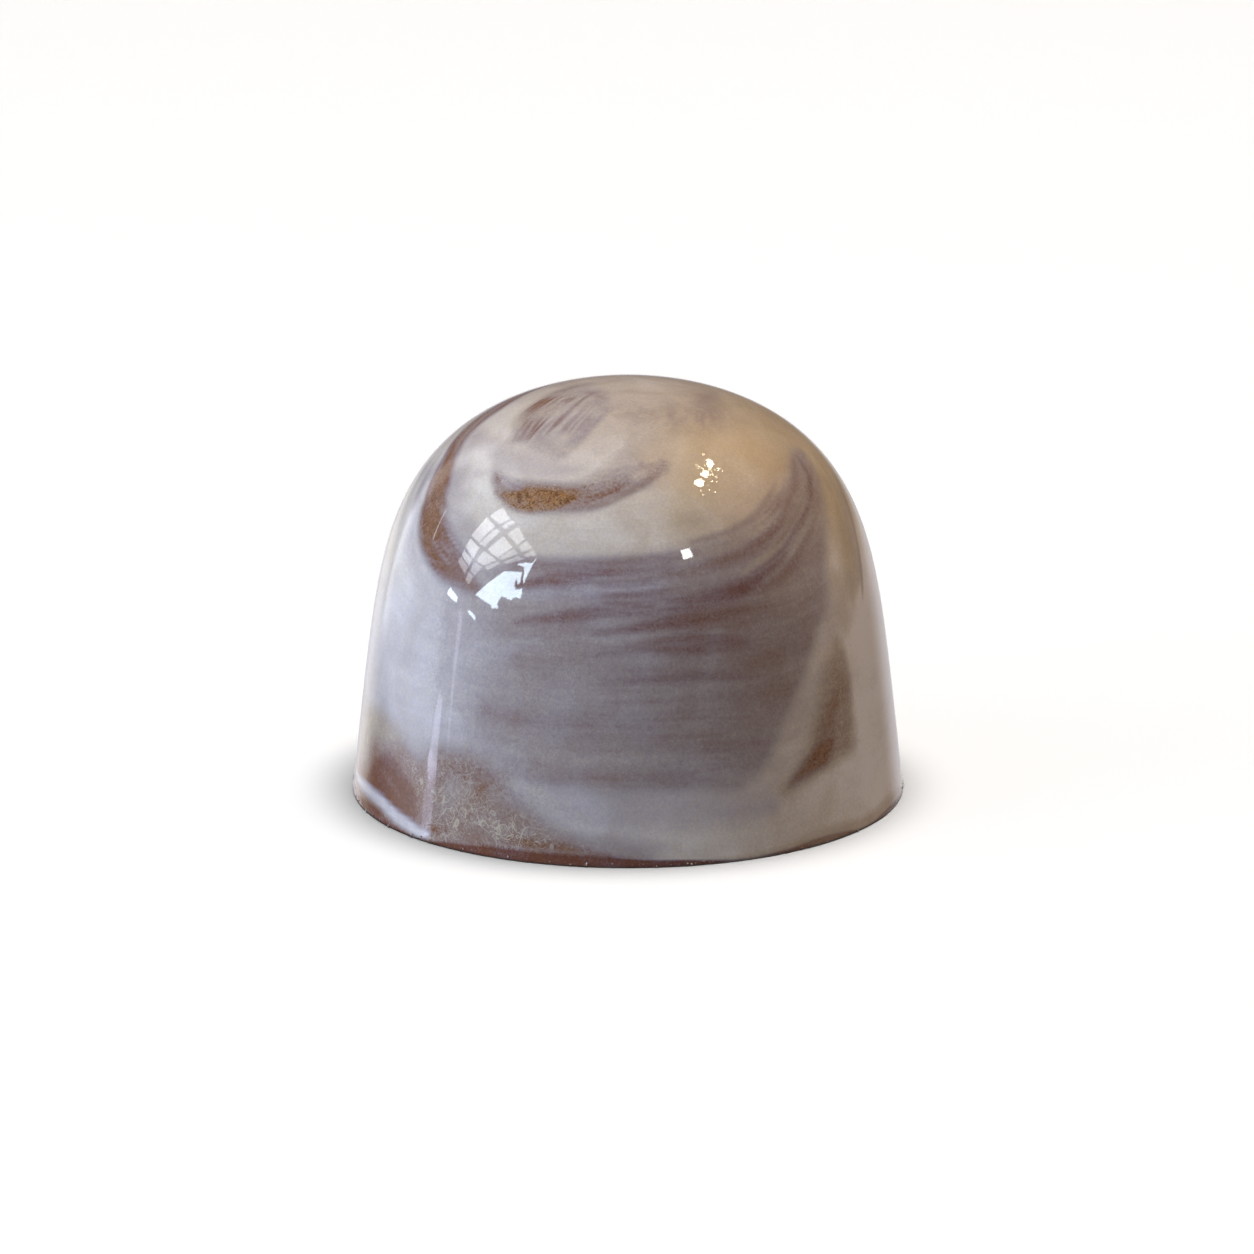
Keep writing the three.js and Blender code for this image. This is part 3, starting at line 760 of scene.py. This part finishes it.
    # The mould's polish isn't quite flat: the gloss wavers over a few millimetres.
    wave_length, wave_height = 3.0 * MM, 0.004 * MM
    waves = add(tree, "ShaderNodeTexNoise", {"Vector": here, "Scale": 1 / wave_length, "Detail": 1.0})
    relief = add(tree, "ShaderNodeBump", {"Height": waves, "Distance": wave_height, "Strength": 1.0})
    finish = {"Base Color": colour, "Normal": relief, "Roughness": 0.035, "IOR": 1.46}
    if scraped:
        facing = add(tree, "ShaderNodeNewGeometry", out="Normal")
        facing_up = add(tree, "ShaderNodeSeparateXYZ", {0: facing}, out="Z")
        under = add(tree, "ShaderNodeMath", {0: facing_up, 1: -0.5}, operation="LESS_THAN")
        long_way = add(tree, "ShaderNodeVectorMath", {0: here, 1: (1.0, 0.06, 1.0)}, operation="MULTIPLY")
        mark_width, mark_depth = 0.5 * MM, 0.03 * MM
        marks = add(tree, "ShaderNodeTexNoise", {
            "Vector": long_way, "Scale": 1 / mark_width, "Detail": 4.0})
        cut = add(tree, "ShaderNodeMath", {0: marks, 1: under}, operation="MULTIPLY")
        finish["Normal"] = add(tree, "ShaderNodeBump", {
            "Height": cut, "Distance": mark_depth, "Normal": relief})
        finish["Roughness"] = add(tree, "ShaderNodeMapRange", {
            "Value": under, "To Min": 0.06, "To Max": 0.42})
    shader = add(tree, "ShaderNodeBsdfPrincipled", finish)
    add(tree, "ShaderNodeOutputMaterial", {"Surface": shader})
    return material


# ---------------------------------------------------------------- the pieces

def crumbs_tree():
    """Geometry Nodes: crumbs of chocolate and of cocoa butter strewn along a ring, each of its own size."""
    tree = growing_tree("crumbs along the foot", {
        "Ring radius": WALL_RADIUS, "Height": 0.2 * MM, "Scatter": 0.1 * MM, "Smallest": 0.02 * MM,
        "Largest": 0.06 * MM, "Share kept": 0.5, "Thickest film": 0.8}, {"Count": 300, "Seed": 3})
    value = dict(tree.nodes.new("NodeGroupInput").outputs.items())

    # What is drawn for each crumb: its name, kind and output, and the limits it lies between.
    draws = [
        ("strewn", "FLOAT_VECTOR", 0, {0: (1.0,) * 3, 1: (-1.0,) * 3}),
        ("butter", "FLOAT", 1, {2: -0.5, 3: value["Thickest film"]}),
        ("kept", "BOOLEAN", 3, {"Probability": value["Share kept"]}),
        ("turned", "FLOAT_VECTOR", 0, {0: (0.0,) * 3, 1: (math.tau,) * 3}),
        ("size", "FLOAT", 1, {2: value["Smallest"], 3: value["Largest"]}),
        ("shape", "FLOAT_VECTOR", 0, {0: (0.6,) * 3, 1: (1.4,) * 3}),
    ]
    for name, kind, out, limits in draws:
        value[name] = add(tree, "FunctionNodeRandomValue", {**limits, "Seed": value["Seed"]}, out,
                          data_type=kind)
    spots = add(tree, "GeometryNodeMeshCircle", {
        "Vertices": value["Count"], "Radius": value["Ring radius"]})
    off = add(tree, "ShaderNodeVectorMath", {0: value["strewn"], "Scale": value["Scatter"]},
              operation="SCALE")
    lifted = add(tree, "ShaderNodeCombineXYZ", {"Z": value["Height"]})
    off = add(tree, "ShaderNodeVectorMath", {0: off, 1: lifted}, operation="ADD")
    spots = add(tree, "GeometryNodeSetPosition", {"Geometry": spots, "Offset": off})
    spots = add(tree, "GeometryNodeStoreNamedAttribute", {
        "Geometry": spots, "Name": "film", "Value": value["butter"]}, data_type="FLOAT", domain="POINT")
    size = add(tree, "ShaderNodeVectorMath", {0: value["shape"], "Scale": value["size"]},
               operation="SCALE")
    crumb = add(tree, "GeometryNodeMeshIcoSphere", {"Radius": 1.0, "Subdivisions": 1})
    crumbs = add(tree, "GeometryNodeInstanceOnPoints", {
        "Points": spots, "Selection": value["kept"], "Instance": crumb, "Rotation": value["turned"],
        "Scale": size})
    crumbs = add(tree, "GeometryNodeRealizeInstances", {"Geometry": crumbs})
    crumbs = add(tree, "GeometryNodeSetMaterial", {"Geometry": crumbs, "Material": value["Material"]})
    add(tree, "NodeGroupOutput", {"Form": crumbs})
    return tree


shell_finish = coated_chocolate("cocoa butter film on moulded milk chocolate", scraped=False)
closing_finish = coated_chocolate("milk chocolate scraped flat at the foot", scraped=True)
form_tree = turned_form_tree()
dome = grown("marbled_dome_skin", form_tree, low=SEAM, high=CROWN, sides=560, rows=172,
             material=shell_finish)
base = grown("chocolate_base_layer", form_tree, low=FOOT, high=SEAM, edge_radius=0.15 * MM, sides=560,
             rows=12, unevenness=0.08 * MM, grain=1.5 * MM, material=closing_finish)
for piece in (dome, base):
    give_marbling(piece)
crumbs = grown("crumbs_at_the_foot", crumbs_tree(), ring_radius=14.05 * MM, height=0.16 * MM,
               scatter=0.07 * MM, smallest=0.02 * MM, largest=0.055 * MM, count=760, share_kept=0.55,
               material=closing_finish)
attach(crumbs, "root")
for piece, node, slot in [(dome, "marbled_dome", "marbled_shell"),
                          (base, "chocolate_base", "closing_chocolate")]:
    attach(piece, "root")
    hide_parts(node)


# ---------------------------------------------------------------- floor, light and camera

def plain_mesh(name, corners, faces):
    """A mesh object from corners and faces, linked to the scene."""
    mesh = bpy.data.meshes.new(name)
    mesh.from_pydata(corners, [], faces)
    holder = bpy.data.objects.new(name, mesh)
    bpy.context.scene.collection.objects.link(holder)
    return holder


def towards(azimuth, elevation):
    """The direction from the praline at that azimuth, 0 being the viewer's side and positive to the
    right, and that height above the horizon, in degrees."""
    a, e = math.radians(azimuth), math.radians(elevation)
    return Vector((math.sin(a) * math.cos(e), -math.cos(a) * math.cos(e), math.sin(e)))


def pale_floor():
    """A plain card that the praline stands on, white under the wash, with a painted contact shadow that
    makes it grey close to the foot, more so at the left. The gloss doesn't mirror it."""
    reach = 3.0
    corners = [(-reach, -reach, 0), (reach, -reach, 0), (reach, reach, 0), (-reach, reach, 0)]
    # The painted contact shadow's reach, and how deep it is from the left to the right of the foot.
    shade_reach = 3.4 * MM
    deep_from, faint_from = -6.0 * MM, 15.0 * MM
    deep, faint = 1.2, 0.4
    floor = plain_mesh("floor", corners, [(0, 1, 2, 3)])
    material, tree = new_tree("white card with painted contact shadow")
    # Painted shadow: the card's colour darkens where the praline hides the sky from it.
    open_sky = add(tree, "ShaderNodeAmbientOcclusion", {"Distance": shade_reach}, out="AO")
    here = add(tree, "ShaderNodeTexCoord", out="Object")
    across = add(tree, "ShaderNodeSeparateXYZ", {0: here}, out="X")
    depth = add(tree, "ShaderNodeMapRange", {
        "Value": across, "From Min": deep_from, "From Max": faint_from, "To Min": deep, "To Max": faint})
    shade = add(tree, "ShaderNodeMath", {0: open_sky, 1: depth}, operation="POWER")
    grey = add(tree, "ShaderNodeMix", {0: shade, "A": linear("#3a3a3a"), "B": linear("#767676")},
               out="Result", data_type="RGBA")
    card = add(tree, "ShaderNodeBsdfDiffuse", {"Color": grey})
    add(tree, "ShaderNodeOutputMaterial", {"Surface": card})
    floor.data.materials.append(material)
    floor.visible_glossy = False
    floor.visible_diffuse = False
    return floor


# Lit panes that the gloss mirrors: corners as (azimuth, elevation), colour and strength.
PANE = "#f2f4f8"
SKY = "#dbefff"
BLIND = "#dfe2ff"
LAMP = "#ffe9c4"
WINDOW = [
    ([(-90.6, 36.1), (-89.6, 42.8), (-77.9, 41), (-81.3, 36.4)], PANE, 9),
    ([(-79.2, 36.3), (-77.5, 40.7), (-73.7, 41.3), (-76, 35.9)], PANE, 8.5),
    ([(-73.1, 34.9), (-69.5, 40.3), (-61.1, 36.9), (-63.5, 33)], PANE, 8.5),
    ([(-62.4, 32.4), (-59.8, 36.4), (-54.2, 34.2), (-59, 30.8)], PANE, 7),
    ([(-57.3, 29.9), (-53.3, 33.6), (-49.8, 32.1), (-55, 29.5)], PANE, 7),
    ([(-91.4, 34.8), (-82.5, 34.6), (-84.9, 25.2), (-91.7, 25.2)], PANE, 9.5),
    ([(-80.9, 34.2), (-77.3, 34.1), (-80.5, 25.3), (-84.5, 24.9)], PANE, 8.5),
    ([(-73.6, 33.3), (-65, 31), (-70.1, 24.6), (-78, 25)], PANE, 9),
    ([(-64.5, 30.6), (-60.2, 29.4), (-67, 24.9), (-69.5, 24.4)], PANE, 6.5),
    ([(-59.6, 28.9), (-55.9, 28.4), (-64.2, 23.9), (-66.3, 23.9)], PANE, 6.5),
    ([(-79.7, 23.8), (-70, 23.5), (-76, 19.4), (-81.4, 19.4)], PANE, 8),
    ([(-69.2, 23.3), (-67.8, 22.9), (-72.7, 18.7), (-75.2, 19.1)], PANE, 6.5),
    ([(-81.9, 18.5), (-76.6, 18.6), (-79.1, 14.9), (-82.9, 15.2)], PANE, 6),
    ([(-91.2, 24.1), (-83, 23.8), (-83.6, 19.1), (-91.1, 20.7)], PANE, 9.5),
    ([(-90.7, 19.4), (-83.9, 18.7), (-84.2, 16.2), (-91, 17.4)], PANE, 9),
    ([(-90.8, 16.9), (-84.5, 15.8), (-85.1, 13.4), (-91.7, 15)], PANE, 6.5),
    ([(-83, 14.7), (-79.8, 14.4), (-80.8, 11.6), (-83.7, 12.1)], PANE, 7),
    ([(-75.8, 10.3), (-66, 9.9), (-65.5, 9.3), (-62, 9.9), (-63.2, 11), (-61.5, 13.4), (-56.5, 13.3),
     (-54.6, 14.6), (-51.5, 14.8), (-51.9, 18), (-53.4, 17.4), (-55.2, 16.9), (-56.3, 18), (-56.5, 19.9),
     (-55.5, 20.1), (-55, 18.6), (-53.8, 19.5), (-54.2, 22), (-54.3, 23.3), (-63.5, 21.3), (-70, 15.5)],
     SKY, 22),
    ([(-58.8, 25.3), (-54.2, 25.3), (-53.4, 23.5), (-52.9, 21), (-51.7, 19.5), (-51, 24), (-50.3, 27.4),
     (-49.5, 31), (-51, 27.9), (-54, 27.5)], SKY, 22),
    ([(-92.5, 6), (-86, 5.8), (-85.5, 7.2), (-91.5, 7.8)], SKY, 20),
    ([(-78.5, 5.8), (-73, 5), (-73.5, 5.8), (-77, 6.4)], SKY, 20),
    ([(-83.1, 5.2), (-80.7, 5.2), (-79.9, 0), (-80.9, -2.6), (-81.4, -4.9), (-81.8, -6.6), (-82.1, -6.6),
     (-82.4, -4.9), (-82.5, -2.4), (-82.5, 0)], BLIND, 3.4),
    ([(-90.5, 4), (-85, 4), (-83.5, -2), (-84.5, -5), (-90, -5), (-89.5, -2)], BLIND, 0.8),
    ([(-88.8, -5), (-87, -5.2), (-87.6, -7.1), (-91.8, -7.2), (-91, -6.2)], BLIND, 4.2),
    ([(-87.4, -7.15), (-87.2, -7.35), (-91.4, -7.8), (-93.4, -7.7), (-91.8, -7.2)], BLIND, 9),
    ([(-87.6, -7.5), (-89, -9), (-94.4, -9.2), (-93.4, -7.9), (-91.4, -7.85)], BLIND, 3.6),
    ([(30.2, 34), (36, 34.4), (35.6, 38.9), (30, 38.6)], "#ffffff", 26),
    ([(-123, 31.3), (-122.6, 31), (-110.8, 22.8), (-111.4, 23.2)], PANE, 9),
    ([(-122, 25.4), (-121.4, 25), (-111.6, 18.8), (-112.4, 19.4)], PANE, 7),
    ([(-118, 21.5), (-117.2, 21.3), (-113.4, 12), (-114.6, 12.4)], PANE, 5),
    ([(84, 64.8), (88, 64), (95, 64.6), (97.5, 66.2), (94, 67), (90, 67.8), (85, 67)], LAMP, 60),
    ([(101, 64.2), (107, 63), (111, 63.2), (112.5, 64.6), (104, 66.2)], LAMP, 60),
    ([(116, 61.8), (122, 60.2), (128, 59.8), (129, 61.2), (118.5, 62.8)], LAMP, 60),
]
WINDOW_DISTANCE = 1.2
SPARKS = 46
SPARKS_MIDDLE, SPARKS_SPREAD = (106, 63.2), (14, 2.4)


def window_and_lamps():
    """The panes and lamps, with small sparks round the warm lamps, as one card of lit faces out of the
    camera's sight."""
    corners, faces, glows, sparks = [], [], [], []
    draw = np.random.default_rng(12)
    for _ in range(SPARKS):
        azimuth, elevation = draw.normal(SPARKS_MIDDLE, SPARKS_SPREAD)
        size = draw.uniform(0.5, 1.2)
        diamond = [(azimuth - size, elevation), (azimuth, elevation - size / 2),
                   (azimuth + size, elevation), (azimuth, elevation + size / 2)]
        sparks.append((diamond, LAMP, draw.uniform(16, 50)))
    for outline, colour, strength in WINDOW + sparks:
        faces.append(list(range(len(corners), len(corners) + len(outline))))
        corners += [WINDOW_DISTANCE * towards(*corner) for corner in outline]
        glows += [channel * strength for channel in linear(colour)[:3]] + [1.0]
    card = plain_mesh("window_and_lamps", corners, faces)
    card.data.attributes.new("glow", "FLOAT_COLOR", "FACE").data.foreach_set("color", glows)
    material, tree = new_tree("lit panes")
    light = add(tree, "ShaderNodeEmission", {
        "Color": add(tree, "ShaderNodeAttribute", attribute_name="glow"), "Strength": 1.0})
    add(tree, "ShaderNodeOutputMaterial", {"Surface": light})
    card.data.materials.append(material)
    card.visible_camera = False
    card.visible_shadow = False


# Soft light of the room: middle and half-width in azimuth, the same in elevation, softness of both
# edges in degrees, colour and strength.
ROOM = [
    ((-118, 24), (-2.5, 6.0), (4, 3.0), "#eaf0ff", 1.35),
    ((-142.5, 1.5), (18, 16), (7, 8), "#ffffff", 0.8),
    ((-152, 6), (-12, 4), (14, 6), "#fff3dc", 0.48),
    ((-92, 25), (38, 22), (45, 35), "#eaf0ff", 0.55),
    ((112, 25), (62, 12), (45, 30), "#ffb448", 1.12),
    ((95, 0), (30, 18), (40, 30), "#e6ecff", 0.20),
    ((180, 24), (-14, 5), (20, 8), "#f2f4ff", 0.62),
]
ROOM_SHADE = "#716d6b"


def studio_world():
    """Soft room light from all round: a dim shade, brighter where ROOM says."""
    world = bpy.data.worlds.new("studio")
    bpy.context.scene.world = world
    world.use_nodes = True
    tree = world.node_tree
    tree.nodes.clear()
    seen_way = add(tree, "ShaderNodeTexCoord", out="Generated")
    way = add(tree, "ShaderNodeSeparateXYZ", {0: seen_way}).node.outputs
    back = add(tree, "ShaderNodeMath", {0: way["Y"], 1: -1.0}, operation="MULTIPLY")
    turn = add(tree, "ShaderNodeMath", {0: way["X"], 1: back}, operation="ARCTAN2")
    rise = add(tree, "ShaderNodeMath", {0: way["Z"]}, operation="ARCSINE")
    total = linear(ROOM_SHADE)[:3]
    for azimuths, elevations, softness, colour, strength in ROOM:
        shares = []
        for angle, (middle, half), soft in zip((turn, rise), (azimuths, elevations), softness):
            off = add(tree, "ShaderNodeMath", {0: angle, 1: math.radians(middle)}, operation="SUBTRACT")
            off = add(tree, "ShaderNodeMath", {0: off, 1: math.pi, 2: -math.pi}, operation="WRAP")
            off = add(tree, "ShaderNodeMath", {0: off}, operation="ABSOLUTE")
            shares.append(add(tree, "ShaderNodeMapRange", {
                "Value": off, "From Min": math.radians(half), "From Max": math.radians(half + soft),
                "To Min": 1.0, "To Max": 0.0}, interpolation_type="SMOOTHSTEP"))
        share = add(tree, "ShaderNodeMath", {0: shares[0], 1: shares[1]}, operation="MULTIPLY")
        glow = [channel * strength for channel in linear(colour)[:3]]
        total = add(tree, "ShaderNodeVectorMath", {0: glow, 1: share, 2: total}, operation="MULTIPLY_ADD")
    room = add(tree, "ShaderNodeBackground", {"Color": total, "Strength": 1.0})
    backdrop = add(tree, "ShaderNodeBackground", {"Color": linear("#ffffff"), "Strength": 1.0})
    seen = add(tree, "ShaderNodeLightPath", out="Is Camera Ray")
    either = add(tree, "ShaderNodeMixShader", {0: seen, 1: room, 2: backdrop})
    add(tree, "ShaderNodeOutputWorld", {"Surface": either})


def floor_wash(floor):
    """A soft lamp high above that lights the floor alone, so that it is white up to the foot."""
    height = 1.4
    lamp = bpy.data.lights.new("floor_wash", "AREA")
    lamp.shape = "DISK"
    lamp.size = 0.9
    lamp.energy = 104.0
    holder = bpy.data.objects.new("floor_wash", lamp)
    holder.location = (0, 0, height)
    holder.visible_camera = False
    holder.visible_glossy = False
    bpy.context.scene.collection.objects.link(holder)
    lit = bpy.data.collections.new("lit_by_wash")
    lit.objects.link(floor)
    holder.light_linking.receiver_collection = lit


def front_camera():
    """Looks down on the praline from the front through a long lens."""
    distance = 300 * MM
    look_down = math.radians(15.14)
    frame_side = 1254
    pixels_per_mm = 19.68
    aim = Vector((-0.05, 0.0, 8.36)) * MM
    camera = bpy.data.objects.new("camera", bpy.data.cameras.new("camera"))
    bpy.context.scene.collection.objects.link(camera)
    camera.location = (0, -distance * math.cos(look_down), CROWN / 2 + distance * math.sin(look_down))
    camera.rotation_euler = (aim - camera.location).to_track_quat("-Z", "Y").to_euler()
    camera.data.lens = camera.data.sensor_width * pixels_per_mm * (distance / MM) / frame_side
    camera.data.clip_start = 10 * MM
    bpy.context.scene.camera = camera


floor = pale_floor()
window_and_lamps()
studio_world()
floor_wash(floor)
front_camera()
bpy.context.scene.view_settings.view_transform = "Standard"
